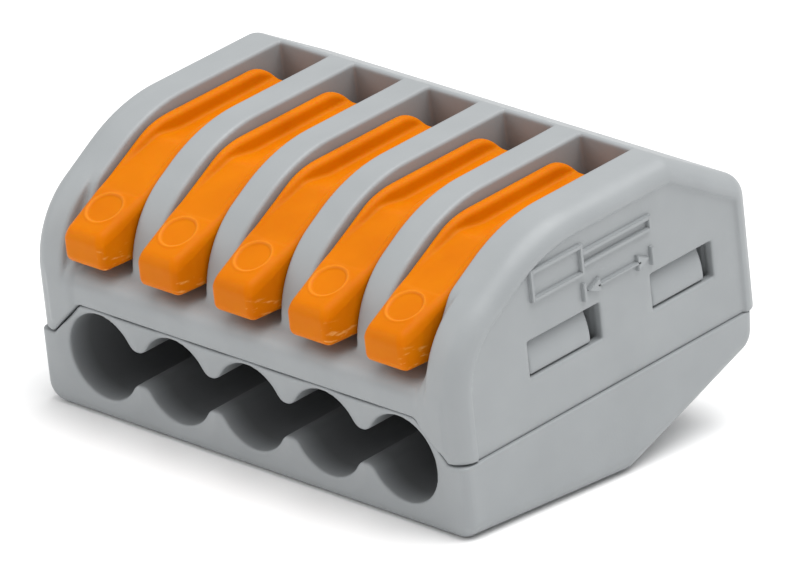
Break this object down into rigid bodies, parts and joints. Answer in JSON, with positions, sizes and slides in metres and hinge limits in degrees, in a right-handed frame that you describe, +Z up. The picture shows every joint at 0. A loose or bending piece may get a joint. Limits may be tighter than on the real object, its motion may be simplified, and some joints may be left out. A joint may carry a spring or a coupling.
{
  "type": "lever wire connector",
  "caption": "Block of side-by-side wire entries with a tilting clamp lever over each, in a two-shell moulded housing.",
  "frame": {"origin": "centre of the bounding box on the flat base", "axes": "+X across the wire entries, +Y away from the entries, +Z up out of the levers"},
  "size_m": [0.0284, 0.0216, 0.015],
  "materials": {
    "housing_cover": "satin moulded polyamide, mid grey",
    "housing_base": "satin moulded polyamide, mid grey",
    "lever_plastic": "semi-gloss moulded plastic, orange",
    "spring_steel": "bright rolled stainless strip",
    "tinned_copper": "matt tin over copper"
  },
  "bodies": {
    "housing": {"upper_housing": "housing_cover", "lower_housing": "housing_base", "busbar": "tinned_copper"},
    "lever_1": {"lever_1": "lever_plastic"},
    "clamp_1": {"clamp_spring_1": "spring_steel"},
    "lever_2": {"lever_2": "lever_plastic"},
    "clamp_2": {"clamp_spring_2": "spring_steel"},
    "lever_3": {"lever_3": "lever_plastic"},
    "clamp_3": {"clamp_spring_3": "spring_steel"},
    "lever_4": {"lever_4": "lever_plastic"},
    "clamp_4": {"clamp_spring_4": "spring_steel"},
    "lever_5": {"lever_5": "lever_plastic"},
    "clamp_5": {"clamp_spring_5": "spring_steel"}
  },
  "joints": [
    {"name": "lever_1_hinge", "type": "hinge", "parent": "housing", "child": "lever_1", "pos_m": [-0.01, 0.00133, 0.01202], "axis": [-1, 0, 0], "range_deg": [0, 95]},
    {"name": "clamp_1_flex", "type": "hinge", "parent": "housing", "child": "clamp_1", "pos_m": [-0.01, 0.00596, 0.0081], "axis": [1, 0, 0], "range_deg": [0, 17.5], "deforming": ["clamp_spring_1"]},
    {"name": "lever_2_hinge", "type": "hinge", "parent": "housing", "child": "lever_2", "pos_m": [-0.005, 0.00133, 0.01202], "axis": [-1, 0, 0], "range_deg": [0, 95]},
    {"name": "clamp_2_flex", "type": "hinge", "parent": "housing", "child": "clamp_2", "pos_m": [-0.005, 0.00596, 0.0081], "axis": [1, 0, 0], "range_deg": [0, 17.5], "deforming": ["clamp_spring_2"]},
    {"name": "lever_3_hinge", "type": "hinge", "parent": "housing", "child": "lever_3", "pos_m": [0, 0.00133, 0.01202], "axis": [-1, 0, 0], "range_deg": [0, 95]},
    {"name": "clamp_3_flex", "type": "hinge", "parent": "housing", "child": "clamp_3", "pos_m": [0, 0.00596, 0.0081], "axis": [1, 0, 0], "range_deg": [0, 17.5], "deforming": ["clamp_spring_3"]},
    {"name": "lever_4_hinge", "type": "hinge", "parent": "housing", "child": "lever_4", "pos_m": [0.005, 0.00133, 0.01202], "axis": [-1, 0, 0], "range_deg": [0, 95]},
    {"name": "clamp_4_flex", "type": "hinge", "parent": "housing", "child": "clamp_4", "pos_m": [0.005, 0.00596, 0.0081], "axis": [1, 0, 0], "range_deg": [0, 17.5], "deforming": ["clamp_spring_4"]},
    {"name": "lever_5_hinge", "type": "hinge", "parent": "housing", "child": "lever_5", "pos_m": [0.01, 0.00133, 0.01202], "axis": [-1, 0, 0], "range_deg": [0, 95]},
    {"name": "clamp_5_flex", "type": "hinge", "parent": "housing", "child": "clamp_5", "pos_m": [0.01, 0.00596, 0.0081], "axis": [1, 0, 0], "range_deg": [0, 17.5], "deforming": ["clamp_spring_5"]}
  ],
  "couplings": [
    {"joint": "clamp_1_flex", "follows": "lever_1_hinge", "ratio": 0.18421},
    {"joint": "clamp_2_flex", "follows": "lever_2_hinge", "ratio": 0.18421},
    {"joint": "clamp_3_flex", "follows": "lever_3_hinge", "ratio": 0.18421},
    {"joint": "clamp_4_flex", "follows": "lever_4_hinge", "ratio": 0.18421},
    {"joint": "clamp_5_flex", "follows": "lever_5_hinge", "ratio": 0.18421}
  ]
}
